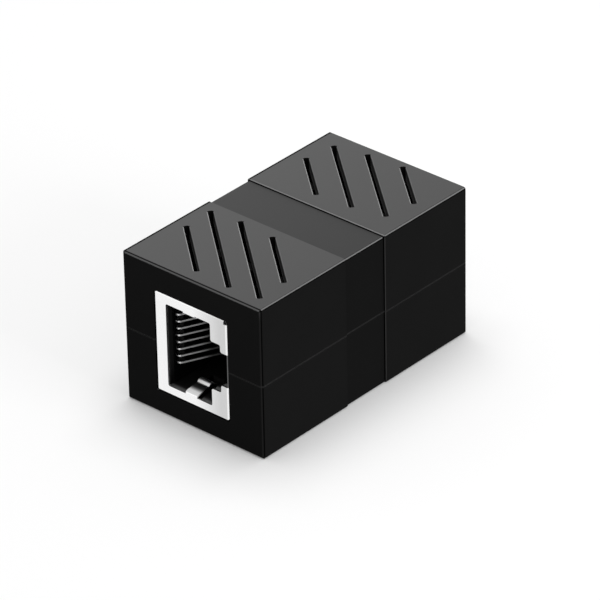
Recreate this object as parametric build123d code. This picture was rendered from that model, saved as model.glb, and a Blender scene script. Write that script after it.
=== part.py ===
from build123d import *
import math
import os

# Inline coupler for two shielded eight-way modular plugs.
# X runs across, Y from the front port to the rear port, Z up.
# The origin is the centre of the underside. All sizes are in millimetres.

# Housing, moulded as an upper and a lower shell
housing_width = 23.4
housing_length = 40.2
housing_height = 22.0
long_edge_radius = 0.35
end_edge_bevel = 0.25
step_edge_bevel = 0.1
side_wall = 1.9
top_wall = 1.9
bottom_wall = 1.9
end_wall = 1.7
parting_height = 10.75
parting_groove_depth = 0.1
parting_groove_width = 0.14
waist_length = 7.5
waist_recess = 0.2

# Diagonal vents through the top, four in each block
vent_width = 0.74
vent_corner_bevel = 0.15
vent_rim_bevel = 0.12
vent_angle = -41.0
vent_rib_notch = 0.2
front_vents = {"shift": 0.2, "pitch": 3.48, "short": 11.6, "long": 19.5, "short_lead": 2.3, "long_lead": 1.65}
rear_vents = {"shift": 0.58, "pitch": 4.02, "short": 9.9, "long": 16.5, "short_lead": 2.2, "long_lead": 1.53}

# Inside of the shells
window_clearance = 0.05
tongue_width = 0.8
tongue_height = 0.7
tongue_clearance = 0.05
cradle_rib_thickness = 1.2
cradle_rib_place = 10.2
cradle_clearance = 0.1
board_rib_thickness = 1.0
boss_width = 3.2
boss_gap = 0.26
boss_place = 14.6
pin_radius = 0.8
pin_height = 1.5
pin_clearance = 0.06
hook_width = 3.0
hook_place = 6.6
hook_thickness = 1.0
hook_rise = 3.3
hook_root_drop = 3.0
hook_root_taper = 1.2
hook_gap_drop = 0.6
hook_barb = 0.45
hook_tip_bevel = 0.3
hook_lead_height = 1.0
hook_barb_height = 0.4
hook_catch_height = 0.3
hook_clearance = 0.2

# Shield, folded from one sheet around each jack
sheet_thickness = 0.2
shield_width = 12.42
shield_height = 14.85
shield_depth = 17.0
shield_offset = -0.23
shield_setback = 0.04
bend_radius = 0.35
corner_relief = 0.6
corner_relief_depth = 0.7
lower_corner_bevel = 0.5
opening_cut_depth = 0.5
ground_tab_width = 1.6
ground_tab_reach = 0.6
ground_tab_place = 3.0

# Spring fingers that press on the plug's own shield
finger_width = 2.0
finger_place = -0.5
finger_low_slope = 8.0
finger_low_length = 2.2
finger_high_slope = 44.0
finger_high_length = 0.6
finger_fall_angle = 32.0
finger_fall_length = 1.3
finger_root_radius = 0.3
finger_step_radius = 0.3
finger_crest_radius = 0.25
finger_root_drop = 0.6
finger_root_lift = 0.28

# Plug opening, lying on its side: its width stands up and its latch faces +X
opening_height = 12.16
opening_width = 7.54
opening_contact_edge = -4.22
latch_base_height = 7.03
latch_base_width = 1.61
latch_slot_height = 4.87
latch_lip_thickness = 1.3
opening_corner_bevel = 0.18
plug_depth = 11.4
lead_in_depth = 0.9
lead_in_flare = 0.4

# Jack body
body_clearance = 0.05
body_edge_bevel = 0.1
finger_pocket_depth = 0.75
finger_pocket_length = 5.6
finger_pocket_clearance = 0.25
standoff_width = 2.2
peg_radius = 0.75
peg_length = 1.3
standoff_across = 3.5
standoff_spread = 5.75

# Contacts
contact_count = 8
contact_pitch = 1.02
contact_width = 0.24
contact_thickness = 0.28
contact_slope = 26.0
contact_bend_radius = 0.45
contact_jog_radius = 0.5
contact_line = -0.55
contact_free_end_depth = 12.3
contact_turn_depth = 0.66
tail_row_spacing = 2.54
tail_reach = 0.8
jog_start_depth = 13.2
jog_length = 2.2

# Contact carrier
carrier_clearance = 0.05
slab_thickness = 1.1
slab_start_depth = 3.0
pocket_start_depth = 1.6
tower_height_margin = 0.9
tower_width = 7.0
comb_slot_width = 0.6
comb_slot_depth = 1.5
comb_slot_reach = 5.5
carrier_nose_bevel = 0.3
carrier_set_down = 0.05
carrier_back_gap = 0.1

# Circuit board
board_thickness = 1.6
board_edge_gap = 0.3
board_slot_clearance = 0.05
tail_hole_radius = 0.34
tail_hole_sides = 8
peg_hole_radius = 0.8
tab_slot_clearance = 0.15

# Drawing margins: how far a rib or boss runs into its wall, and a cutter past its face
fuse_depth = 0.5
cut_overlap = 0.1
cut_margin = 1.0

# Places worked out from the sizes above
face_y = -housing_length / 2
inner_half_width = housing_width / 2 - side_wall
port_height = parting_height
block_length = (housing_length - waist_length) / 2
block_centre = waist_length / 2 + block_length / 2
shield_left = shield_offset - shield_width / 2
shield_right = shield_offset + shield_width / 2
plate_y = face_y + shield_setback
plate_back_y = plate_y + sheet_thickness
body_left = shield_left + sheet_thickness + body_clearance
body_right = shield_right - sheet_thickness - body_clearance
body_half_height = shield_height / 2 - sheet_thickness - body_clearance
body_front_y = plate_back_y + body_clearance
body_back_y = plate_y + shield_depth
opening_left = shield_offset + opening_contact_edge
opening_right = opening_left + opening_width
latch_base_right = opening_right + latch_base_width
plug_stop_y = face_y + plug_depth
contact_x = opening_left + contact_line
tower_half_height = (contact_count - 1) / 2 * contact_pitch + tower_height_margin


def block(x_from, x_to, y_from, y_to, z_from, z_to):
    """Return a box given by its two corners."""
    size = (x_to - x_from, y_to - y_from, z_to - z_from)
    centre = ((x_from + x_to) / 2, (y_from + y_to) / 2, (z_from + z_to) / 2)
    return Pos(*centre) * Box(*size)


def port_block(x_from, x_to, y_from, y_to, half_height):
    """Return a box that is centred on the port's height."""
    return block(x_from, x_to, y_from, y_to, port_height - half_height, port_height + half_height)


def turned_to_rear(piece):
    """Return the same piece as it sits in the rear port."""
    return piece.rotate(Axis.Z, 180)


def front_edges(form):
    """Return the edges round the front face of a form."""
    return form.faces().sort_by(Axis.Y)[0].edges()


def back_edges(form):
    """Return the edges round the back face of a form."""
    return form.faces().sort_by(Axis.Y)[-1].edges()


def housing_form(inset):
    """Return the outer form of the closed housing, shrunk by an inset on every side."""
    width = housing_width - 2 * inset
    height = housing_height - 2 * inset
    radius = max(long_edge_radius - inset, long_edge_radius / 4)
    end_bevel = max(end_edge_bevel - inset, end_edge_bevel / 4)
    step_bevel = max(step_edge_bevel - inset, step_edge_bevel / 4)
    middle = housing_height / 2
    end_block = Box(width, block_length - 2 * inset, height)
    end_block = fillet(end_block.edges().filter_by(Axis.Y), radius)
    end_block = chamfer(front_edges(end_block), end_bevel)
    end_block = Pos(0, -block_centre, middle) * chamfer(back_edges(end_block), step_bevel)
    waist_section = RectangleRounded(width - 2 * waist_recess, height - waist_recess, radius)
    waist = extrude(Plane.XZ * waist_section, waist_length / 2 + fuse_depth, both=True)
    waist = Pos(0, 0, middle - waist_recess / 2) * waist
    return waist + end_block + turned_to_rear(end_block)


def window_cutter():
    """Return the cutter for the window that the front shield's plate fills."""
    width = shield_width + 2 * window_clearance
    height = shield_height + 2 * window_clearance
    outline = RectangleRounded(width, height, bend_radius + window_clearance)
    start = Plane(origin=(shield_offset, face_y - cut_margin, port_height), x_dir=(1, 0, 0), z_dir=(0, 1, 0))
    return extrude(start * outline, end_wall + 2 * cut_margin)


def shield_tunnel():
    """Return the space that the front shield and its ground tabs need inside the housing."""
    return port_block(
        shield_left - cradle_clearance, shield_right + cradle_clearance,
        face_y + end_wall, board_thickness / 2 + ground_tab_reach + cradle_clearance,
        shield_height / 2 + cradle_clearance,
    )


def inner_rib(y_from, thickness):
    """Return a rib that fills the inside of the housing."""
    return block(
        -inner_half_width - fuse_depth, inner_half_width + fuse_depth, y_from, y_from + thickness,
        bottom_wall - fuse_depth, housing_height - top_wall + fuse_depth,
    )


def boss_places():
    """Return the two places of the bosses that line the shells up, on one diagonal."""
    across = shield_left - boss_gap - boss_width / 2
    return [(across, -boss_place), (-across, boss_place)]


def hollow_housing():
    """Return the closed housing with its inside, ribs, bosses and port windows."""
    inside = block(
        -inner_half_width, inner_half_width,
        face_y + end_wall, -face_y - end_wall,
        bottom_wall, housing_height - top_wall,
    )
    housing = housing_form(0) - inside
    board_rib_y = -board_thickness / 2 - board_slot_clearance - board_rib_thickness
    cradle_rib = inner_rib(-cradle_rib_place - cradle_rib_thickness / 2, cradle_rib_thickness)
    board_rib = inner_rib(board_rib_y, board_rib_thickness)
    for rib in (cradle_rib, board_rib):
        housing += rib
        housing += turned_to_rear(rib)
    boss_height = housing_height - bottom_wall - top_wall + 2 * fuse_depth
    boss = Box(boss_width, boss_width, boss_height)
    for x, y in boss_places():
        housing += Pos(x, y, bottom_wall - fuse_depth + boss_height / 2) * boss
    for cutter in (window_cutter(), shield_tunnel()):
        housing -= cutter
        housing -= turned_to_rear(cutter)
    return housing


def parting_groove():
    """Return the cutter for the fine groove that the parting line shows outside."""
    slab = Box(housing_width + 2, housing_length + 2, parting_groove_width)
    return Pos(0, 0, parting_height) * slab - housing_form(parting_groove_depth)


def tongue_ring(clearance):
    """Return the ring that stands on the lower shell's rim, or its rebate in the upper shell."""
    reach = tongue_width + clearance
    height = tongue_height + clearance
    outer = Box(2 * (inner_half_width + reach), housing_length - 2 * (end_wall - reach), height)
    inner = Box(2 * inner_half_width, housing_length - 2 * end_wall, height)
    ring = Pos(0, 0, parting_height + height / 2) * (outer - inner)
    ring -= window_cutter()
    ring -= turned_to_rear(window_cutter())
    return ring


def hook_arm():
    """Return one snap hook that rises from the lower shell's right wall."""
    root_x = inner_half_width + fuse_depth
    arm_outer = inner_half_width - hook_clearance
    arm_inner = arm_outer - hook_thickness
    barb_x = inner_half_width + hook_barb
    root_z = parting_height - hook_root_drop
    gap_z = parting_height - hook_gap_drop
    top_z = parting_height + hook_rise
    barb_top = top_z - hook_lead_height
    barb_bottom = barb_top - hook_barb_height
    outline = Polyline(
        (root_x, root_z - hook_root_taper),
        (arm_inner, root_z),
        (arm_inner, top_z),
        (arm_outer - hook_tip_bevel, top_z),
        (barb_x, barb_top),
        (barb_x, barb_bottom),
        (arm_outer, barb_bottom - hook_catch_height),
        (arm_outer, gap_z),
        (root_x, gap_z),
        close=True,
    )
    profile = Plane.XZ.offset(-hook_width / 2) * make_face(outline)
    return extrude(profile, hook_width)


def hook_pocket():
    """Return the pocket in the upper shell's right wall that takes a hook's barb."""
    top_z = parting_height + hook_rise
    barb_reach = hook_lead_height + hook_barb_height + hook_catch_height
    half = hook_width / 2 + hook_clearance
    return block(
        inner_half_width - fuse_depth, inner_half_width + hook_barb + hook_clearance,
        -half, half, top_z - barb_reach - hook_clearance, top_z + hook_clearance,
    )


def in_four_places(piece):
    """Return a hook or its pocket at both side walls, in front of and behind the board."""
    pieces = []
    for y in (-hook_place, hook_place):
        moved = Pos(0, y, 0) * piece
        pieces.append(moved)
        pieces.append(turned_to_rear(moved))
    return pieces


def vent_cutter(length):
    """Return the cutter of one vent, with its long rims bevelled, drawn with the top face at zero."""
    depth = top_wall + vent_rib_notch
    half = vent_width / 2
    outline = Rectangle(length, vent_width)
    outline = chamfer(outline.vertices(), vent_corner_bevel)
    slot = Pos(0, 0, -depth) * extrude(outline, depth + cut_margin)
    rim = make_face(Polyline(
        (-half, -vent_rim_bevel),
        (half, -vent_rim_bevel),
        (half + 2 * vent_rim_bevel, vent_rim_bevel),
        (-half - 2 * vent_rim_bevel, vent_rim_bevel),
        close=True,
    ))
    return slot + extrude(Plane.YZ * rim, length / 2 - vent_corner_bevel, both=True)


def vent_cutters(layout, block_y):
    """Return the cutters of one block's four vents, short, long, long and short."""
    lengths = (layout["short"], layout["long"], layout["long"], layout["short"])
    leads = (-layout["short_lead"], -layout["long_lead"], layout["long_lead"], layout["short_lead"])
    middle = (len(lengths) - 1) / 2
    frame = Pos(0, block_y + layout["shift"], housing_height) * Rot(0, 0, vent_angle)
    return [
        frame * Pos(lead, (index - middle) * layout["pitch"], 0) * vent_cutter(length)
        for index, (length, lead) in enumerate(zip(lengths, leads))
    ]


def make_upper_shell(housing):
    """Return the upper shell: vents, rebate, sockets and hook pockets."""
    shell = split(housing, bisect_by=Plane.XY.offset(parting_height), keep=Keep.TOP)
    shell -= tongue_ring(tongue_clearance)
    socket_depth = pin_height + pin_clearance
    socket = Cylinder(pin_radius + pin_clearance, socket_depth)
    for x, y in boss_places():
        shell -= Pos(x, y, parting_height + socket_depth / 2) * socket
    for pocket in in_four_places(hook_pocket()):
        shell -= pocket
    for cutter in vent_cutters(front_vents, -block_centre) + vent_cutters(rear_vents, block_centre):
        shell -= cutter
    return shell - parting_groove()


def make_lower_shell(housing):
    """Return the lower shell: tongue, pins and snap hooks."""
    shell = split(housing, bisect_by=Plane.XY.offset(parting_height), keep=Keep.BOTTOM)
    shell += tongue_ring(0)
    for x, y in boss_places():
        shell += Pos(x, y, parting_height + pin_height / 2) * Cylinder(pin_radius, pin_height)
    for hook in in_four_places(hook_arm()):
        shell += hook
    return shell - parting_groove()


def opening_outline():
    """Return the stepped outline of the plug opening, drawn in the plane of the face."""
    slot_right = shield_right - sheet_thickness
    main = Pos((opening_left + opening_right) / 2, 0) * Rectangle(opening_width, opening_height)
    base_width = latch_base_right - opening_left
    base = Pos(opening_left + base_width / 2, 0) * Rectangle(base_width, latch_base_height)
    slot_width = slot_right - opening_left
    slot = Pos(opening_left + slot_width / 2, 0) * Rectangle(slot_width, latch_slot_height)
    outline = main + base + slot
    inner_corners = [v for v in outline.vertices() if v.X < body_right]
    return chamfer(inner_corners, opening_corner_bevel)


def on_face(sketch, y):
    """Return a sketch moved from the XY plane to the upright plane at y, facing back."""
    plane = Plane(origin=(0, y, port_height), x_dir=(1, 0, 0), z_dir=(0, -1, 0))
    return plane * sketch


def finger_strip():
    """Return the lower spring finger: back from the plate, up to a crest and down."""
    middle_y = plate_y + sheet_thickness / 2
    root_z = port_height - opening_height / 2 + finger_root_lift
    runs = [
        (finger_low_length, finger_low_slope),
        (finger_high_length, finger_high_slope),
        (finger_fall_length, -finger_fall_angle),
    ]
    points = [(middle_y, root_z - finger_root_drop), (middle_y, root_z)]
    for length, angle in runs:
        slope = math.radians(angle)
        y, z = points[-1]
        points.append((y + length * math.cos(slope), z + length * math.sin(slope)))
    path = FilletPolyline(
        *[(finger_place, y, z) for y, z in points],
        radius=[finger_root_radius, finger_step_radius, finger_crest_radius],
    )
    start = Plane(origin=path @ 0, x_dir=(1, 0, 0), z_dir=path % 0)
    section = start * Rectangle(finger_width, sheet_thickness)
    return sweep(section, path)


def make_shield():
    """Return the front shield: a plate folded back into four walls, with fingers and tabs."""
    middle_y = plate_y + shield_depth / 2
    inner_width = shield_width - 2 * sheet_thickness
    inner_height = shield_height - 2 * sheet_thickness
    outer = Box(shield_width, shield_depth, shield_height)
    outer = fillet(front_edges(outer) + outer.edges().filter_by(Axis.Y), bend_radius)
    inner = Box(inner_width, shield_depth, inner_height)
    inner = chamfer(front_edges(inner) + inner.edges().filter_by(Axis.Y), bend_radius - sheet_thickness)
    shield = Pos(shield_offset, middle_y, port_height) * outer
    shield -= Pos(shield_offset, middle_y + sheet_thickness, port_height) * inner
    shield -= extrude(on_face(opening_outline(), plate_y + opening_cut_depth), opening_cut_depth + cut_margin)
    top = port_height + shield_height / 2
    bottom = port_height - shield_height / 2
    relief_end = plate_y + corner_relief_depth
    shield -= block(
        shield_right - corner_relief, shield_right + cut_margin,
        plate_y - cut_margin, relief_end, top - corner_relief, top + cut_margin,
    )
    bevel_side = lower_corner_bevel * math.sqrt(2)
    bevel_length = corner_relief_depth + cut_margin
    shield -= Pos(shield_right, relief_end - bevel_length / 2, bottom) * Rot(0, 45, 0) * Box(
        bevel_side, bevel_length, bevel_side,
    )
    finger = finger_strip()
    shield += finger
    shield += finger.mirror(Plane.XY.offset(port_height))
    tab_end = board_thickness / 2 + ground_tab_reach
    for sign in (-1, 1):
        outer_z = port_height + sign * shield_height / 2
        inner_z = outer_z - sign * sheet_thickness
        shield += block(
            ground_tab_place - ground_tab_width / 2, ground_tab_place + ground_tab_width / 2,
            body_back_y - fuse_depth, tab_end, min(inner_z, outer_z), max(inner_z, outer_z),
        )
    return shield


def contact_height(index):
    """Return the height of a contact, counted from the top."""
    return port_height + ((contact_count - 1) / 2 - index) * contact_pitch


def make_contact(index):
    """Return one formed contact: tail, straight run, front bend and sloping free arm."""
    slope = math.radians(contact_slope)
    turn_y = face_y + contact_turn_depth
    arm_depth = contact_free_end_depth - contact_turn_depth
    free_x = contact_x + arm_depth * math.tan(slope)
    tail_y = board_thickness / 2 + tail_reach
    points = [
        (contact_x, turn_y),
        (free_x, turn_y + arm_depth),
    ]
    radii = [contact_bend_radius]
    if index % 2:
        jog_y = face_y + jog_start_depth
        tail_x = contact_x + tail_row_spacing
        points = [(tail_x, tail_y), (tail_x, jog_y + jog_length), (contact_x, jog_y)] + points
        radii = [contact_jog_radius, contact_jog_radius] + radii
    else:
        points = [(contact_x, tail_y)] + points
    path = FilletPolyline(*points, radius=radii)
    start = Plane(origin=path @ 0, x_dir=(1, 0, 0), z_dir=path % 0)
    contact = sweep(start * Rectangle(contact_thickness, contact_width), path)
    return Pos(0, 0, contact_height(index)) * contact


def make_contact_carrier(contacts):
    """Return the insert that holds the eight contacts: a slab under them and a comb behind."""
    slab_left = opening_left - slab_thickness
    slab_top = opening_left - carrier_set_down
    back_y = body_back_y - carrier_back_gap
    slab = port_block(slab_left, slab_top, face_y + slab_start_depth, back_y, tower_half_height)
    tower = port_block(slab_left, slab_left + tower_width, plug_stop_y, back_y, tower_half_height)
    carrier = slab + tower
    carrier = chamfer(carrier.edges().group_by(Axis.Y)[0].filter_by(Axis.Z), carrier_nose_bevel)
    comb_y = plug_stop_y + comb_slot_depth
    for index in range(contact_count):
        slot = Pos(0, 0, contact_height(index) - port_height) * port_block(
            slab_top, slab_top + comb_slot_reach, plug_stop_y - cut_margin, comb_y, comb_slot_width / 2,
        )
        carrier -= slot
    for contact in contacts:
        carrier -= contact
    return carrier


def make_jack_body():
    """Return the moulded jack body: plug cavity, latch ledges, carrier pocket and standoffs."""
    body = port_block(body_left, body_right, body_front_y, body_back_y, body_half_height)
    body = chamfer(front_edges(body) + body.edges().filter_by(Axis.Y), body_edge_bevel)
    body -= extrude(on_face(opening_outline(), plug_stop_y), plug_depth + cut_margin)
    lock_y = body_front_y + latch_lip_thickness
    body -= port_block(
        latch_base_right - cut_overlap, body_right + cut_margin, lock_y, plug_stop_y, latch_base_height / 2,
    )
    lead_in_end = Pos((opening_left + opening_right) / 2, 0) * Rectangle(opening_width, opening_height)
    lead_in_angle = math.degrees(math.atan(lead_in_flare / lead_in_depth))
    body -= extrude(on_face(lead_in_end, body_front_y + lead_in_depth), lead_in_depth, taper=-lead_in_angle)
    slab_left = opening_left - slab_thickness - carrier_clearance
    half = tower_half_height + carrier_clearance
    pocket_end = body_back_y + cut_margin
    body -= port_block(slab_left, opening_left + cut_overlap, face_y + pocket_start_depth, pocket_end, half)
    tower_right = opening_left - slab_thickness + tower_width + carrier_clearance
    body -= port_block(slab_left, tower_right, plug_stop_y - cut_overlap, pocket_end, half)
    pocket_half = finger_width / 2 + finger_pocket_clearance
    body -= port_block(
        finger_place - pocket_half, finger_place + pocket_half,
        body_front_y - cut_margin, face_y + finger_pocket_length,
        opening_height / 2 + finger_pocket_depth,
    )
    board_y = -board_thickness / 2
    standoff_length = board_y - body_back_y + fuse_depth
    peg_full_length = peg_length + fuse_depth
    for z in (port_height - standoff_spread, port_height + standoff_spread):
        axis = Pos(standoff_across, board_y, z) * Rot(-90, 0, 0)
        body += axis * Pos(0, 0, -standoff_length / 2) * Box(standoff_width, standoff_width, standoff_length)
        body += axis * Pos(0, 0, peg_length - peg_full_length / 2) * Cylinder(peg_radius, peg_full_length)
    return body


def make_circuit_board():
    """Return the board that joins the two jacks, with its holes and slots."""
    half_width = inner_half_width - board_edge_gap
    board = block(
        -half_width, half_width, -board_thickness / 2, board_thickness / 2,
        bottom_wall + board_edge_gap, housing_height - top_wall - board_edge_gap,
    )
    cuts = []
    tail_hole = RegularPolygon(tail_hole_radius, tail_hole_sides)
    for index in range(contact_count):
        x = contact_x + (tail_row_spacing if index % 2 else 0)
        start = Plane(origin=(x, 0, contact_height(index)), x_dir=(1, 0, 0), z_dir=(0, 1, 0))
        cuts.append(extrude(start * tail_hole, board_thickness, both=True))
    peg_hole = Rot(90, 0, 0) * Cylinder(peg_hole_radius, board_thickness + cut_margin)
    for sign in (-1, 1):
        cuts.append(Pos(standoff_across, 0, port_height + sign * standoff_spread) * peg_hole)
    tab_half = ground_tab_width / 2 + tab_slot_clearance
    for sign in (-1, 1):
        z = port_height + sign * (shield_height / 2 - sheet_thickness / 2)
        slot_height = sheet_thickness + 2 * tab_slot_clearance
        slot = Box(2 * tab_half, board_thickness + cut_margin, slot_height)
        cuts.append(Pos(ground_tab_place, 0, z) * slot)
    for cut in cuts:
        board -= cut
        board -= turned_to_rear(cut)
    return board


def make_parts():
    """Return every piece under the name of its node."""
    housing = hollow_housing()
    contacts = [make_contact(index) for index in range(contact_count)]
    port_pieces = {
        "shield": make_shield(),
        "jack_body": make_jack_body(),
        "contact_carrier": make_contact_carrier(contacts),
    }
    for index, contact in enumerate(contacts):
        port_pieces[f"contact_{index + 1}"] = contact
    parts = {
        "upper_shell": make_upper_shell(housing),
        "lower_shell": make_lower_shell(housing),
        "circuit_board": make_circuit_board(),
    }
    for name, piece in port_pieces.items():
        parts[f"front_{name}"] = piece
        parts[f"rear_{name}"] = turned_to_rear(piece)
    return parts


os.makedirs("parts", exist_ok=True)
for node, part in make_parts().items():
    export_step(part, f"parts/{node}.step")
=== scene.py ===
"""Looks of an inline coupler for two shielded eight-way modular plugs.

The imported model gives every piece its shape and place. This script dresses each
piece in a procedural finish, and sets the floor, the lights and the camera.
All lengths are in metres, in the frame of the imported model.
"""

import logging
import math
from dataclasses import dataclass, field
from enum import Enum
from typing import Any, Dict, Optional, Tuple, Union

import bpy
from mathutils import Matrix, Vector


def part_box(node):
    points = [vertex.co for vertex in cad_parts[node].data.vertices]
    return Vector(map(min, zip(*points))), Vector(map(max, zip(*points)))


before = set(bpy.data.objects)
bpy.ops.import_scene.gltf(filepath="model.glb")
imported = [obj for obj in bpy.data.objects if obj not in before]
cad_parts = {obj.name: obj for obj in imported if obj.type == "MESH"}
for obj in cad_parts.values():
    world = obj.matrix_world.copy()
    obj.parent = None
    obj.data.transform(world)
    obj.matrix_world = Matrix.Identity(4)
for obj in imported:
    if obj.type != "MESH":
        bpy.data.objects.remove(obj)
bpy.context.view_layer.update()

MM = 0.001
UPPER_SHELL = "upper_shell"
LOWER_SHELL = "lower_shell"
NOISE_MIDDLE = 0.5
BEVEL_SAMPLES = 8

Colour = Tuple[float, float, float, float]
Point = Tuple[float, float, float]
Span = Tuple[float, float]

log = logging.getLogger("coupler")


class Axis(Enum):
    """The axes of the model, as places in a vector."""

    X = 0
    Y = 1
    Z = 2


class Ray(Enum):
    """The kinds of ray that the floor and the sky answer in their own way."""

    CAMERA = "Is Camera Ray"
    GLOSSY = "Is Glossy Ray"


class Curve(Enum):
    """The ways in which a step goes from 0 to 1."""

    SMOOTH = "SMOOTHSTEP"
    STRAIGHT = "LINEAR"


class Port(Enum):
    """The two ports of the coupler, named as their nodes are."""

    FRONT = "front"
    REAR = "rear"

    @property
    def turn(self) -> float:
        """Return 1 for the front port, and -1 for the rear one, which is turned half round."""
        return 1.0 if self is Port.FRONT else -1.0


def grey(value: float) -> Colour:
    """Return an opaque linear grey.

    Args:
        value: the linear brightness, from 0 to 1.

    Returns:
        The colour with full alpha.
    """
    return (value, value, value, 1.0)


def box_of(node: str) -> Tuple[Vector, Vector]:
    """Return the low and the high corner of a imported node, in metres."""
    low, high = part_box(node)
    return Vector(low), Vector(high)


class Value:
    """A number that a shader works out, wrapped so that expressions add Math nodes."""

    def __init__(self, tree: "NodeTree", socket: bpy.types.NodeSocket) -> None:
        """Wrap a socket of a node tree.

        Args:
            tree: the tree that the socket belongs to.
            socket: the output socket that carries the number.
        """
        self.tree = tree
        self.socket = socket

    def _maths(self, operation: str, first: Any, second: Any = 0.0) -> "Value":
        """Add one Math node.

        Args:
            operation: the Math node's operation.
            first: the first value, a number or a Value.
            second: the second value, a number or a Value.

        Returns:
            The result as a Value.
        """
        return self.tree.add("ShaderNodeMath", {"operation": operation}, {0: first, 1: second})

    def __add__(self, other: Any) -> "Value":
        """Return this value plus another."""
        return self._maths("ADD", self, other)

    def __radd__(self, other: Any) -> "Value":
        """Return another value plus this one."""
        return self._maths("ADD", other, self)

    def __sub__(self, other: Any) -> "Value":
        """Return this value minus another."""
        return self._maths("SUBTRACT", self, other)

    def __rsub__(self, other: Any) -> "Value":
        """Return another value minus this one."""
        return self._maths("SUBTRACT", other, self)

    def __mul__(self, other: Any) -> "Value":
        """Return this value times another."""
        return self._maths("MULTIPLY", self, other)

    def __rmul__(self, other: Any) -> "Value":
        """Return another value times this one."""
        return self._maths("MULTIPLY", other, self)

    def __abs__(self) -> "Value":
        """Return this value without its sign."""
        return self._maths("ABSOLUTE", self)

    def sine(self) -> "Value":
        """Return the sine of this value, taken in radians."""
        return self._maths("SINE", self)

    def larger(self, other: Any) -> "Value":
        """Return the larger of this value and another."""
        return self._maths("MAXIMUM", self, other)

    def ramp(self, low: float, high: float, curve: Curve = Curve.SMOOTH) -> "Value":
        """Return a step of this value.

        Args:
            low: the value where the step starts, at 0.
            high: the value where the step ends, at 1.
            curve: the way from 0 to 1.

        Returns:
            The step, from 0 to 1.
        """
        settings = {"interpolation_type": curve.value}
        inputs = {"Value": self, "From Min": low, "From Max": high, "To Min": 0.0, "To Max": 1.0}
        return self.tree.add("ShaderNodeMapRange", settings, inputs)

    def between(self, low: float, high: float, blur: float) -> "Value":
        """Return 1 where this value lies between two limits, and 0 outside.

        Args:
            low: the lower limit.
            high: the upper limit.
            blur: how far each limit fades.

        Returns:
            The band, from 0 to 1.
        """
        return self.ramp(low, low + blur) * (1 - self.ramp(high - blur, high))


class NodeTree:
    """A tree of shader nodes, for a material or for the world."""

    def __init__(self, tree: bpy.types.NodeTree) -> None:
        """Take over a node tree and clear it.

        Args:
            tree: the node tree of a material or a world.
        """
        self.nodes = tree.nodes
        self.links = tree.links
        self.nodes.clear()

    def add(
        self,
        kind: str,
        settings: Optional[Dict[str, Any]] = None,
        inputs: Optional[Dict[Any, Any]] = None,
        output: Union[int, str, None] = 0,
    ) -> Optional[Value]:
        """Add one node.

        Args:
            kind: the node's type.
            settings: the node's own properties.
            inputs: values or links of its sockets, by name or number.
            output: the output socket to return, or None for a node that has none.

        Returns:
            The chosen output, wrapped, or None.
        """
        node = self.nodes.new(kind)
        for name, value in (settings or {}).items():
            setattr(node, name, value)
        for name, value in (inputs or {}).items():
            if isinstance(value, Value):
                self.links.new(value.socket, node.inputs[name])
            else:
                node.inputs[name].default_value = value
        return None if output is None else Value(self, node.outputs[output])

    def met_by(self, ray: Ray) -> Value:
        """Return 1 where a kind of ray meets the surface, and 0 elsewhere.

        Args:
            ray: the kind of ray.

        Returns:
            The mask.
        """
        return self.add("ShaderNodeLightPath", output=ray.value)

    def either(self, factor: Any, first: Value, second: Value) -> Value:
        """Return a mix of two shaders.

        Args:
            factor: 0 for the first shader and 1 for the second.
            first: the first shader.
            second: the second shader.

        Returns:
            The mixed shader.
        """
        return self.add("ShaderNodeMixShader", inputs={0: factor, 1: first, 2: second})


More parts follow.
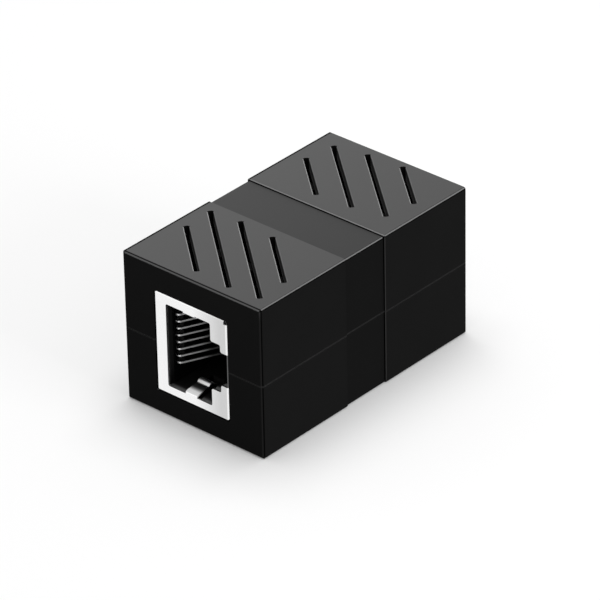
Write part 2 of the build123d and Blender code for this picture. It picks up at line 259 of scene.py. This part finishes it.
class Shader(NodeTree):
    """The node tree of one material."""

    def __init__(self, name: str) -> None:
        """Start an empty material.

        Args:
            name: the material's name.
        """
        self.material = bpy.data.materials.new(name)
        self.material.use_nodes = True
        super().__init__(self.material.node_tree)

    def place(self, axis: Axis) -> Value:
        """Return a coordinate of the shaded point in the model's frame, in metres.

        Args:
            axis: the axis to read.

        Returns:
            The coordinate.
        """
        point = self.add("ShaderNodeTexCoord", output="Object")
        return self.add("ShaderNodeSeparateXYZ", inputs={0: point}, output=axis.value)

    def facing(self, axis: Axis) -> Value:
        """Return how far the surface faces along an axis of the model.

        Args:
            axis: the axis to read.

        Returns:
            The part of the surface's normal along the axis, from -1 to 1.
        """
        normal = self.add("ShaderNodeTexCoord", output="Normal")
        return self.add("ShaderNodeSeparateXYZ", inputs={0: normal}, output=axis.value)

    def noise(self, size: float, detail: float = 2.0, stretch: Point = (1.0, 1.0, 1.0)) -> Value:
        """Return a solid noise from 0 to 1.

        Args:
            size: the size of its largest grains, in metres.
            detail: the number of finer layers on top.
            stretch: how far the grains stretch along each axis.

        Returns:
            The noise.
        """
        point = self.add("ShaderNodeTexCoord", output="Object")
        scale = tuple(1.0 / length for length in stretch)
        placed = self.add("ShaderNodeMapping", inputs={"Vector": point, "Scale": scale})
        inputs = {"Vector": placed, "Scale": 1.0 / size, "Detail": detail}
        return self.add("ShaderNodeTexNoise", inputs=inputs, output="Fac")

    def blend(self, factor: Value, first: Colour, second: Colour) -> Value:
        """Return a mix of two colours.

        Args:
            factor: 0 for the first colour and 1 for the second.
            first: the first colour.
            second: the second colour.

        Returns:
            The mixed colour.
        """
        return self.add("ShaderNodeMix", {"data_type": "RGBA"}, {0: factor, 6: first, 7: second}, output=2)

    def shade(self, brightness: Value) -> Value:
        """Return the grey whose linear brightness is a value from 0 to 1."""
        return self.blend(brightness, grey(0.0), grey(1.0))

    def rounded(self, radius: float) -> Value:
        """Return a normal at which sharp edges look rounded.

        Args:
            radius: the radius of the rounding, in metres.

        Returns:
            The normal.
        """
        return self.add("ShaderNodeBevel", {"samples": BEVEL_SAMPLES}, {"Radius": radius})

    def relief(self, height: Value, depth: float, base: Optional[Value] = None) -> Value:
        """Return a normal that a height field bends.

        Args:
            height: the height, from 0 to 1.
            depth: the depth of the relief, in metres.
            base: the normal to start from, or None for the surface's own.

        Returns:
            The normal.
        """
        inputs = {"Distance": depth, "Height": height}
        if base is not None:
            inputs["Normal"] = base
        return self.add("ShaderNodeBump", inputs=inputs)

    def surface(self, **sockets: Any) -> bpy.types.Material:
        """Finish the material with one Principled shader.

        Args:
            sockets: values or links, named as the shader's sockets with _ for a space.

        Returns:
            The material.
        """
        inputs = {name.replace("_", " "): value for name, value in sockets.items()}
        return self.show(self.add("ShaderNodeBsdfPrincipled", inputs=inputs))

    def show(self, shader: Value) -> bpy.types.Material:
        """Finish the material with any shader.

        Args:
            shader: the shader that the surface shows.

        Returns:
            The material.
        """
        self.add("ShaderNodeOutputMaterial", inputs={"Surface": shader}, output=None)
        return self.material


@dataclass(frozen=True)
class MouldedCase:
    """The case's black plastic: matt walls, a sheen on its upward faces, crisp thin edge lines of painted
    highlight and painted shade, painted light in its vents and painted shade low on its ends.

    A tone is a linear brightness, and a facing is the part of the normal along an axis.
    """

    deep: float = 0.0095
    pale: float = 0.0125
    patch_size: float = 6.0 * MM
    grain_size: float = 0.11 * MM
    grain_layers: float = 3.0
    grain_depth: float = 0.01 * MM
    roughness: float = 0.5
    roughness_change: float = 0.08
    specular: float = 0.01
    # Painted shade on the end faces, darker towards the floor
    end_facing: Span = (0.6, 0.9)
    end_painted_shade: float = 0.3
    blur: float = 0.02 * MM
    # Sheen
    sheen_facing: Span = (0.86, 0.985)
    sheen_slant: float = 0.07
    sheen_roughness: float = 0.42
    sheen_index: float = 1.546
    # Waist band, and the parting line with its painted highlight
    waist_half_length: float = 3.75 * MM
    waist_tone_loss: float = 0.2
    waist_sheen_loss: float = 0.37
    waist_slant: float = 0.03
    parting_height: float = 10.75 * MM
    parting_half_width: float = 0.1 * MM
    parting_highlight_tone: float = 0.036
    # Painted highlights: pale lines along the outer edges
    side_margin: float = 0.5 * MM
    edge_facing: Span = (0.56, 0.9)
    edge_facing_blur: float = 0.04
    edge_highlight_tone: float = 0.185
    lip_highlight_loss: float = 0.08
    step_length: float = 0.12 * MM
    step_highlight_tone: float = 0.06
    step_side_highlight_tone: float = 0.05
    upright_bend: Span = (0.1, 0.2)
    upright_lean: Span = (0.1, 0.3)
    corner_highlight_tone: float = 0.012
    corner_top_highlight_tone: float = 0.028
    corner_fades: float = 1.8 * MM
    # Painted shade: dark lines beside the pale ones
    shade_loss: float = 0.93
    lip_shade: float = 0.92
    lip_starts: float = 0.31 * MM
    lip_turns: float = 0.13 * MM
    lip_ends: float = 0.05 * MM
    step_shade: float = 0.15 * MM
    turned_bend: Span = (0.01, 0.04)
    turned_facing: Span = (0.52, 0.57)
    corner_turns: float = 0.12 * MM
    left_facing: Span = (0.66, 0.74)
    # Painted light on the vents' rims and walls
    rim_facing: Span = (0.5, 0.93)
    rim_facing_blur: float = 0.06
    rim_depth: float = 0.14 * MM
    rim_highlight_bright: float = 0.32
    rim_highlight_dim: float = 0.155
    vent_facing: Span = (0.1, 0.4)
    vent_depth: float = 1.8 * MM
    vent_wall_painted_light: float = 0.02
    vent_deep_painted_light: float = 0.24

    @property
    def corner(self) -> Vector:
        """Return the case's far upper corner."""
        return box_of(UPPER_SHELL)[1]

    def make(self) -> bpy.types.Material:
        """Return the case's material."""
        shader = Shader("case_plastic")
        patches = shader.noise(self.patch_size)
        grain = shader.noise(self.grain_size, detail=self.grain_layers)
        outer = self.outside(shader)
        # Painted shade on the dark lines beside the highlights, where the sheen is taken away too
        plain = 1 - outer * self.shades(shader) * self.shade_loss
        # The parting line gets a pale painted highlight
        tone = self.plastic(shader, patches) * plain + self.parting(shader) * self.parting_highlight_tone
        # Painted highlights along the outer edges, and painted light on the vents' rims and walls
        tone = tone + outer * plain * self.lines(shader) + (1 - outer) * self.rims(shader)
        return shader.surface(
            Base_Color=shader.shade(tone),
            Roughness=self.roughness + (patches - NOISE_MIDDLE) * self.roughness_change,
            Specular_IOR_Level=self.specular,
            Coat_Weight=self.sheen(shader) * plain,
            Coat_Roughness=self.sheen_roughness,
            Coat_IOR=self.sheen_index,
            Normal=shader.relief(grain, self.grain_depth),
        )

    def plastic(self, shader: Shader, patches: Value) -> Value:
        """Return the tone of the bare plastic, deeper on the waist, with painted shade low down on the
        ends.

        Args:
            shader: the shader that asks.
            patches: a slow noise that mottles the tone.

        Returns:
            The tone.
        """
        tone = self.deep + patches * (self.pale - self.deep)
        # Painted shade low down on the end faces
        end = abs(shader.facing(Axis.Y)).ramp(*self.end_facing)
        low = 1 - shader.place(Axis.Z) * (1 / self.corner.z)
        return tone * (1 - self.waist(shader) * self.waist_tone_loss) * (1 - end * low * self.end_painted_shade)

    def sheen(self, shader: Shader) -> Value:
        """Return the sheen of the upward faces, fainter on the waist and to the right.

        Args:
            shader: the shader that asks.

        Returns:
            The weight of the coat.
        """
        upward = shader.facing(Axis.Z).ramp(*self.sheen_facing) * self.near_top(shader, self.side_margin)
        across = shader.place(Axis.X) * (1 / self.corner.x)
        waist_loss = self.waist(shader) * (across * self.waist_slant + self.waist_sheen_loss)
        return upward * (1 - (across + 1) * self.sheen_slant) * (1 - waist_loss)

    def waist(self, shader: Shader) -> Value:
        """Return 1 on the waist band, and 0 on the blocks at its two sides.

        Args:
            shader: the shader that asks.

        Returns:
            The mask.
        """
        along = abs(shader.place(Axis.Y))
        return 1 - along.ramp(self.waist_half_length, self.waist_half_length + self.blur)

    def parting(self, shader: Shader) -> Value:
        """Return 1 on the line where the shells part.

        Args:
            shader: the shader that asks.

        Returns:
            The mask.
        """
        height = abs(shader.place(Axis.Z) - self.parting_height)
        return 1 - height.ramp(self.parting_half_width, self.parting_half_width + self.blur)

    def near_top(self, shader: Shader, depth: float) -> Value:
        """Return 1 within a depth of the case's top, and 0 further down.

        Args:
            shader: the shader that asks.
            depth: the depth, in metres.

        Returns:
            The mask.
        """
        start = self.corner.z - depth
        return shader.place(Axis.Z).ramp(start, start + self.blur)

    def outside(self, shader: Shader) -> Value:
        """Return 1 near the case's outer edges and on its waist, and 0 where the vents lie.

        Args:
            shader: the shader that asks.

        Returns:
            The mask.
        """
        across = abs(shader.place(Axis.X)) - (self.corner.x - self.side_margin)
        along = abs(shader.place(Axis.Y))
        end = along - (self.corner.y - self.side_margin)
        waist = self.waist_half_length + self.side_margin / 2 - along
        return across.larger(end).larger(waist).ramp(0.0, self.blur)

    def bend(self, shader: Shader) -> Value:
        """Return how far the surface turns away from the model's axes, 0 on a flat face.

        Args:
            shader: the shader that asks.

        Returns:
            One less the largest part of the surface's normal.
        """
        x, y, z = (abs(shader.facing(axis)) for axis in Axis)
        return 1 - x.larger(y).larger(z)

    def uprights(self, shader: Shader) -> Value:
        """Return 1 on upright surfaces that turn away from the axes: bevels and the vents' walls.

        Args:
            shader: the shader that asks.

        Returns:
            The mask.
        """
        lean = abs(shader.facing(Axis.Z)).ramp(*self.upright_lean)
        return self.bend(shader).ramp(*self.upright_bend) * (1 - lean)

    def steps(self, shader: Shader) -> Value:
        """Return 1 beside the waist, where the case steps out again.

        Args:
            shader: the shader that asks.

        Returns:
            The mask.
        """
        step_ends = self.waist_half_length + self.step_length
        return abs(shader.place(Axis.Y)).between(self.waist_half_length, step_ends, self.blur)

    def lines(self, shader: Shader) -> Value:
        """Return the tone of the painted highlights, pale lines along the outer edges, fainter on the
        upright ones.

        Args:
            shader: the shader that asks.

        Returns:
            The tone that is added there.
        """
        # Painted highlights on the rounded and bevelled edges, the steps and the upright corners
        edge = shader.facing(Axis.Z).between(*self.edge_facing, self.edge_facing_blur)
        step = self.steps(shader)
        lip_starts = self.corner.y - self.lip_starts
        lip = abs(shader.place(Axis.Y)).ramp(lip_starts, lip_starts + self.blur)
        tone = self.edge_highlight_tone + step * self.step_highlight_tone - lip * self.lip_highlight_loss
        top = shader.place(Axis.Z).ramp(self.corner.z - self.corner_fades, self.corner.z)
        upright = self.corner_highlight_tone + top * self.corner_top_highlight_tone
        upright = upright * (1 - step) + step * self.step_side_highlight_tone
        return edge * tone + self.uprights(shader) * upright

    def shades(self, shader: Shader) -> Value:
        """Return 1 on the painted shade, dark lines beside the painted highlights.

        Args:
            shader: the shader that asks.

        Returns:
            The mask.
        """
        end = self.corner.y
        along = abs(shader.place(Axis.Y))
        lip = along.between(end - self.lip_starts, end - self.lip_turns, self.blur) * self.lip_shade
        lip = lip.larger(along.between(end - self.lip_ends, end - self.blur, self.blur))
        step_starts = self.waist_half_length - self.step_shade
        step = along.between(step_starts, self.waist_half_length + self.blur, self.blur)
        upward = shader.facing(Axis.Z)
        turned = self.bend(shader).ramp(*self.turned_bend) * (1 - upward.ramp(*self.turned_facing))
        corner = abs(shader.place(Axis.X)) - (self.corner.x - self.corner_turns)
        corner = corner.ramp(0.0, self.blur) * (1 - self.steps(shader))
        turned = turned * (1 - self.uprights(shader) * (1 - corner))
        left = self.side_margin - self.corner.x - shader.place(Axis.X)
        left = left.ramp(0.0, self.blur) * upward.ramp(*self.left_facing)
        return lip.larger(step).larger(turned).larger(left)

    def rims(self, shader: Shader) -> Value:
        """Return the painted light on the vents' bevelled rims, palest on one long side, and on their
        walls.

        Args:
            shader: the shader that asks.

        Returns:
            The tone that is added there.
        """
        rim = shader.facing(Axis.Z).between(*self.rim_facing, self.rim_facing_blur)
        rim = rim * self.near_top(shader, self.rim_depth)
        turned = shader.facing(Axis.X) + shader.facing(Axis.Y)
        light = turned.ramp(*self.vent_facing)
        rim_tone = self.rim_highlight_dim + light * (self.rim_highlight_bright - self.rim_highlight_dim)
        wall = self.uprights(shader) * self.near_top(shader, self.vent_depth)
        wall = wall * (0 - turned).ramp(*self.vent_facing)
        top = self.corner.z
        deep = 1 - shader.place(Axis.Z).ramp(top - self.vent_depth, top, Curve.STRAIGHT)
        # Painted highlight on the rims, and painted light on the walls, growing deeper down
        return rim * rim_tone + wall * (deep * deep * self.vent_deep_painted_light + self.vent_wall_painted_light)


@dataclass(frozen=True)
class PlatedSheet:
    """A shield's plated sheet: bright, with painted shade towards the latch side, in the cut at its fold,
    on its walls inside the case and along its spring fingers.
    """

    bright: float = 0.925
    roughness: float = 0.2
    roughness_change: float = 0.1
    streak_size: float = 0.25 * MM
    streak_layers: float = 3.0
    streak_stretch: Point = (1.0, 1.0, 14.0)
    streak_depth: float = 0.0004 * MM
    cloud_size: float = 2.5 * MM
    cloud_layers: float = 1.0
    cloud_loss: float = 0.03
    blur: float = 0.06 * MM
    # Plate, with its fold at the latch side, and painted shade that grows towards it
    # soft is the share kept under the painted shade at the latch side
    soft: float = 0.68
    fade_starts: float = 0.1 * MM
    fade_ends: float = 4.6 * MM
    fold_width: float = 0.36 * MM
    latch_half_height: float = 2.435 * MM
    # Share kept in the cut at the fold, under painted shade
    cut: float = 0.13
    # Painted shade on the walls inside the case
    shaded_wall_share: float = 0.05
    wall_thickness: float = 0.3 * MM
    wall_starts: float = 0.45 * MM
    # Spring fingers, from root to crest, with painted shade along their run
    spring_roughness: float = 0.16
    spring_loss: float = 0.12
    root_loss: float = 0.2
    root_ends: float = 0.7 * MM
    run_loss: float = 0.82
    run_fade_starts: float = 0.12 * MM
    run_fade_ends: float = 1.45 * MM
    crest_loss: float = 0.1
    crest_starts: float = 2.0 * MM
    crest_full: float = 2.25 * MM
    bow_starts: float = 0.2 * MM
    bow_ends: float = 2.15 * MM
    bow_height: float = 0.75 * MM

    def make(self, port: Port) -> bpy.types.Material:
        """Return the material of one port's shield.

        Args:
            port: the port that the shield belongs to.

        Returns:
            The material.
        """
        shader = Shader(f"{port.value}_plated_sheet")
        low, high = box_of(f"{Port.FRONT.value}_shield")
        middle = (low + high) / 2
        across = shader.place(Axis.X) * port.turn
        inward = shader.place(Axis.Y) * port.turn - low.y
        height = abs(shader.place(Axis.Z) - middle.z)
        aside = abs(across - middle.x) - (high.x - middle.x - self.wall_thickness)
        above = height - (high.z - middle.z - self.wall_thickness)
        border = aside.larger(above).ramp(0.0, self.blur)
        inner = 1 - border
        wall = border * inward.ramp(self.wall_starts, 2 * self.wall_starts)
        spring = inner * inward.ramp(self.blur, 2 * self.blur)
        clouds = shader.noise(self.cloud_size, detail=self.cloud_layers)
        streaks = shader.noise(self.streak_size, detail=self.streak_layers, stretch=self.streak_stretch)
        # Painted shade along the spring fingers' run
        tone = (self.bright - clouds * self.cloud_loss) * (1 - spring * self.painted_shade_along(inward))
        # Painted shade towards the latch side, in the cut and on the walls inside the case
        tone = tone * self.kept_across(across, height, high.x) * (1 - wall * (1 - self.shaded_wall_share))
        bow = 1 - inward.ramp(self.bow_starts, self.bow_ends, Curve.STRAIGHT)
        bowed = shader.relief(inner * (1 - bow * bow), self.bow_height)
        roughness = self.roughness + spring * self.spring_roughness
        return shader.surface(
            Base_Color=shader.shade(tone),
            Metallic=1.0,
            Roughness=roughness + (streaks - NOISE_MIDDLE) * self.roughness_change,
            Normal=shader.relief(streaks, self.streak_depth, bowed),
        )

    def kept_across(self, across: Value, height: Value, edge: float) -> Value:
        """Return the share of its tone that the plate keeps under painted shade, less to the latch side and
        in the cut.

        Args:
            across: the place across the port, towards the latch.
            height: the height above or below the port's middle.
            edge: the place of the plate's edge at the latch side.

        Returns:
            The share.
        """
        fold = across.ramp(edge - self.fold_width, edge - self.fold_width + self.blur)
        # Painted shade, growing towards the latch side, with the fold left out
        fade = across.ramp(self.fade_starts, self.fade_ends, Curve.STRAIGHT) * (1 - fold)
        # Painted shade in the cut of the fold beside the latch
        latch = fold * (1 - height.ramp(self.latch_half_height - self.blur, self.latch_half_height))
        return (1 - fade * (1 - self.soft)) * (1 - latch * (1 - self.cut))

    def painted_shade_along(self, inward: Value) -> Value:
        """Return the share of its tone that a spring finger loses to painted shade, most in the middle of
        its run.

        Args:
            inward: the depth behind the plate's face.

        Returns:
            The share.
        """
        crest = inward.ramp(self.crest_starts, self.crest_full)
        run = inward.ramp(self.run_fade_starts, self.run_fade_ends) * (1 - crest)
        root = 1 - inward.ramp(self.wall_thickness, self.root_ends)
        loss = run * self.run_loss + crest * self.crest_loss + root * self.root_loss
        return loss + self.spring_loss


@dataclass(frozen=True)
class JackPlastic:
    """The jacks' black plastic: smoother than the case, with painted light on the ledge behind the plate
    and on the side walls near the mouth, and painted shade further in.
    """

    tone: float = 0.022
    tone_change: float = 0.004
    roughness: float = 0.42
    roughness_change: float = 0.08
    specular: float = 0.1
    grain_size: float = 0.2 * MM
    grain_depth: float = 0.004 * MM
    facing: Span = (0.3, 0.7)
    ledge_painted_light: float = 0.2
    ledge_starts: float = 0.6 * MM
    ledge_ends: float = 1.08 * MM
    floor_painted_shade: float = 0.6
    side_painted_light: float = 2.0
    side_painted_shade: float = 0.85
    side_starts: float = 0.55 * MM
    side_ends: float = 0.8 * MM

    def make(self, name: str) -> bpy.types.Material:
        """Return the plastic of the jacks' bodies or carriers.

        Args:
            name: the material's name.

        Returns:
            The material.
        """
        shader = Shader(name)
        grain = shader.noise(self.grain_size)
        change = grain - NOISE_MIDDLE
        depth = box_of(UPPER_SHELL)[1].y - abs(shader.place(Axis.Y))
        upward = shader.facing(Axis.Z).ramp(*self.facing)
        past_ledge = depth.ramp(self.ledge_starts, self.ledge_ends)
        # Painted shade on the cavity floor past the ledge, and painted light on the ledge
        tone = (self.tone + change * self.tone_change) * (1 - upward * past_ledge * self.floor_painted_shade)
        tone = tone + upward * (1 - past_ledge) * self.ledge_painted_light
        # Painted light on the side walls near the mouth, and painted shade further in
        side = abs(shader.facing(Axis.X)).ramp(*self.facing)
        inner = depth.ramp(self.side_starts, self.side_ends)
        tone = tone * (1 + side * (self.side_painted_light - inner * (self.side_painted_light + self.side_painted_shade)))
        return shader.surface(
            Base_Color=shader.shade(tone),
            Roughness=self.roughness + change * self.roughness_change,
            Specular_IOR_Level=self.specular,
            Normal=shader.relief(grain, self.grain_depth),
        )


@dataclass(frozen=True)
class ContactWire:
    """The contacts' pale plating, kept on the arms' outward side and noses, with painted shade elsewhere
    and deeper inside.
    """

    tone: float = 0.93
    tone_change: float = 0.1
    painted_shade_tone: float = 0.03
    roughness: float = 0.4
    roughness_change: float = 0.12
    scratch_size: float = 0.08 * MM
    scratch_stretch: Point = (8.0, 12.0, 1.0)
    scratch_depth: float = 0.002 * MM
    rounding: float = 0.05 * MM
    nose_facing: Span = (0.6, 0.9)
    nose_metallic: float = 0.75
    arm_facing: Span = (0.5, 0.9)
    arm_sideways: float = 0.9
    arm_outward: float = 0.44
    run_ends: float = -4.9 * MM
    arm_starts: float = -4.5 * MM
    fade_starts: float = -3.0 * MM
    fade_ends: float = -2.1 * MM
    depth_shade_loss: float = 0.85

    def make(self, port: Port) -> bpy.types.Material:
        """Return the material of one port's contacts.

        Args:
            port: the port that the contacts belong to.

        Returns:
            The material.
        """
        shader = Shader(f"{port.value}_contact_plating")
        scratches = shader.noise(self.scratch_size, stretch=self.scratch_stretch)
        sideways = shader.facing(Axis.X) * port.turn
        outward = shader.facing(Axis.Y) * -port.turn
        across = shader.place(Axis.X) * port.turn
        past_run = across.ramp(self.run_ends, self.arm_starts)
        # Painted shade, deeper inside the port
        kept = 1 - across.ramp(self.fade_starts, self.fade_ends) * self.depth_shade_loss
        nose = outward.ramp(*self.nose_facing) * past_run
        arm = (sideways * self.arm_sideways + outward * self.arm_outward).ramp(*self.arm_facing)
        shown = nose.larger(arm * past_run)
        plate = self.tone + (scratches - NOISE_MIDDLE) * self.tone_change - self.painted_shade_tone
        return shader.surface(
            # Pale plating only where the highlights fall, and painted shade elsewhere
            Base_Color=shader.shade(self.painted_shade_tone + shown * plate * kept),
            Metallic=nose * self.nose_metallic,
            Roughness=self.roughness + (scratches - NOISE_MIDDLE) * self.roughness_change,
            Normal=shader.relief(scratches, self.scratch_depth, shader.rounded(self.rounding)),
        )


@dataclass(frozen=True)
class BoardLaminate:
    """The board's dark solder mask over a woven laminate."""

    mask_deep: Colour = (0.004, 0.02, 0.01, 1.0)
    mask_pale: Colour = (0.008, 0.035, 0.018, 1.0)
    weave_size: float = 0.5 * MM
    weave_depth: float = 0.003 * MM
    roughness: float = 0.35
    roughness_change: float = 0.08

    def make(self) -> bpy.types.Material:
        """Return the board's material."""
        shader = Shader("board_mask")
        waves = 2 * math.pi / self.weave_size
        warp = (shader.place(Axis.X) * waves).sine()
        weft = (shader.place(Axis.Z) * waves).sine()
        weave = warp * weft * 0.5 + 0.5
        return shader.surface(
            Base_Color=shader.blend(weave, self.mask_deep, self.mask_pale),
            Roughness=self.roughness + weave * self.roughness_change,
            Normal=shader.relief(weave, self.weave_depth),
        )


def dress(node: str, material: bpy.types.Material) -> None:
    """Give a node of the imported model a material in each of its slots.

    Args:
        node: the node's name.
        material: the material that it takes.
    """
    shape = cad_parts[node]
    if not shape.material_slots:
        shape.data.materials.append(material)
    for slot in shape.material_slots:
        slot.material = material
    log.info("%s wears %s", node, material.name)


@dataclass(frozen=True)
class Case:
    """The two shells and the board that they hold."""

    shells: Tuple[str, str] = (UPPER_SHELL, LOWER_SHELL)
    board: str = "circuit_board"

    def build(self) -> None:
        """Dress the shells and the board."""
        plastic = MouldedCase().make()
        for shell in self.shells:
            dress(shell, plastic)
        dress(self.board, BoardLaminate().make())


@dataclass(frozen=True)
class Jacks:
    """The two ports' shields, bodies, carriers and contacts."""

    contact_count: int = 8

    def build(self) -> None:
        """Dress the pieces of both ports."""
        body_plastic = JackPlastic().make("jack_plastic")
        carrier_plastic = JackPlastic().make("carrier_plastic")
        for port in Port:
            plating = ContactWire().make(port)
            dress(f"{port.value}_shield", PlatedSheet().make(port))
            dress(f"{port.value}_jack_body", body_plastic)
            dress(f"{port.value}_contact_carrier", carrier_plastic)
            for index in range(self.contact_count):
                dress(f"{port.value}_contact_{index + 1}", plating)


@dataclass(frozen=True)
class SoftLamp:
    """A square soft lamp, placed and sized in millimetres."""

    name: str
    place: Point
    target: Point
    size: float
    radiance: float

    def build(self) -> None:
        """Make the lamp."""
        data = bpy.data.lights.new(self.name, "AREA")
        data.shape = "SQUARE"
        data.size = self.size * MM
        data.energy = self.radiance * math.pi * data.size ** 2
        lamp = bpy.data.objects.new(self.name, data)
        lamp.location = Vector(self.place) * MM
        aim = Vector(self.target) * MM - lamp.location
        lamp.rotation_mode = "QUATERNION"
        lamp.rotation_quaternion = aim.to_track_quat("-Z", "Y")
        bpy.context.scene.collection.objects.link(lamp)
        log.info("%s stands at %s", self.name, lamp.location)


@dataclass(frozen=True)
class Studio:
    """The pale floor, the sky and the soft lamps."""

    floor_half_size: float = 1.5
    floor_tone: float = 0.95
    floor_glow: float = 0.15
    floor_bounce: float = 0.35
    floor_reflection: float = 1.0
    sky_light: float = 0.42
    sky_reflection: float = 1.1
    lamps: Tuple[SoftLamp, ...] = (
        SoftLamp("lamp_above", (-80, 120, 840), (0, 0, 0), 600, 4.3),
        SoftLamp("lamp_right", (390, 20, 160), (0, 0, 10), 160, 5.1),
    )

    def build(self) -> None:
        """Make the floor, the sky and the lamps."""
        self.make_floor()
        self.make_sky()
        for lamp in self.lamps:
            lamp.build()

    def make_floor(self) -> None:
        """Make the floor, which the camera sees lit and shaded, and metal sees white."""
        half = self.floor_half_size
        mesh = bpy.data.meshes.new("floor")
        corners = [(-half, -half, 0.0), (half, -half, 0.0), (half, half, 0.0), (-half, half, 0.0)]
        mesh.from_pydata(corners, [], [(0, 1, 2, 3)])
        floor = bpy.data.objects.new("floor", mesh)
        bpy.context.scene.collection.objects.link(floor)
        shader = Shader("floor_white")
        lit = shader.add("ShaderNodeBsdfDiffuse", inputs={"Color": grey(self.floor_tone)})
        bounce = shader.add("ShaderNodeBsdfDiffuse", inputs={"Color": grey(self.floor_bounce)})
        glow = shader.add("ShaderNodeEmission", inputs={"Strength": self.floor_reflection})
        white = shader.add("ShaderNodeEmission", inputs={"Strength": 1.0})
        seen = shader.either(self.floor_glow, lit, white)
        plain = shader.either(shader.met_by(Ray.CAMERA), bounce, seen)
        mesh.materials.append(shader.show(shader.either(shader.met_by(Ray.GLOSSY), plain, glow)))
        log.info("floor is laid")

    def make_sky(self) -> None:
        """Make the world: white to the camera and in reflections, softer as light."""
        world = bpy.data.worlds.new("sky")
        world.use_nodes = True
        tree = NodeTree(world.node_tree)
        kind = "ShaderNodeBackground"
        soft = tree.add(kind, inputs={"Color": grey(1.0), "Strength": self.sky_light})
        white = tree.add(kind, inputs={"Color": grey(1.0), "Strength": self.sky_reflection})
        direct = tree.met_by(Ray.CAMERA).larger(tree.met_by(Ray.GLOSSY))
        tree.add("ShaderNodeOutputWorld", inputs={"Surface": tree.either(direct, soft, white)}, output=None)
        bpy.context.scene.world = world
        log.info("sky is set")


@dataclass(frozen=True)
class PhotoCamera:
    """The camera at the photograph's viewing angle."""

    azimuth: float = 41.776
    elevation: float = 30.977
    roll: float = -1.174
    distance: float = 635.87 * MM
    shift_right: float = 0.319 * MM
    shift_up: float = -1.036 * MM
    target: Vector = field(default_factory=lambda: Vector((0.0, 0.0, 11.0 * MM)))
    lens: float = 296.02
    sensor: float = 36.0
    nearest: float = 0.01
    farthest: float = 20.0

    def axes(self) -> Tuple[Vector, Vector, Vector]:
        """Return the camera's right side, its upper side and the direction behind it."""
        turn = math.radians(self.azimuth)
        lift = math.radians(self.elevation)
        tilt = math.radians(self.roll)
        back = Vector((
            math.sin(turn) * math.cos(lift),
            -math.cos(turn) * math.cos(lift),
            math.sin(lift),
        ))
        level = Vector((math.cos(turn), math.sin(turn), 0.0))
        upright = back.cross(level)
        right = level * math.cos(tilt) + upright * math.sin(tilt)
        up = upright * math.cos(tilt) - level * math.sin(tilt)
        return right, up, back

    def build(self) -> None:
        """Make the camera and look through it."""
        right, up, back = self.axes()
        data = bpy.data.cameras.new("photo_camera")
        data.lens = self.lens
        data.sensor_width = self.sensor
        data.sensor_fit = "HORIZONTAL"
        data.clip_start = self.nearest
        data.clip_end = self.farthest
        camera = bpy.data.objects.new("photo_camera", data)
        camera.location = self.target + back * self.distance + right * self.shift_right + up * self.shift_up
        camera.rotation_mode = "QUATERNION"
        camera.rotation_quaternion = Matrix((right, up, back)).transposed().to_quaternion()
        bpy.context.scene.collection.objects.link(camera)
        bpy.context.scene.camera = camera
        log.info("camera stands at %s", camera.location)


def main() -> None:
    """Build the looks in order."""
    logging.basicConfig(level=logging.INFO, format="%(message)s")
    bpy.context.scene.view_settings.view_transform = "Standard"
    Case().build()
    Jacks().build()
    Studio().build()
    PhotoCamera().build()


if __name__ == "__main__":
    main()
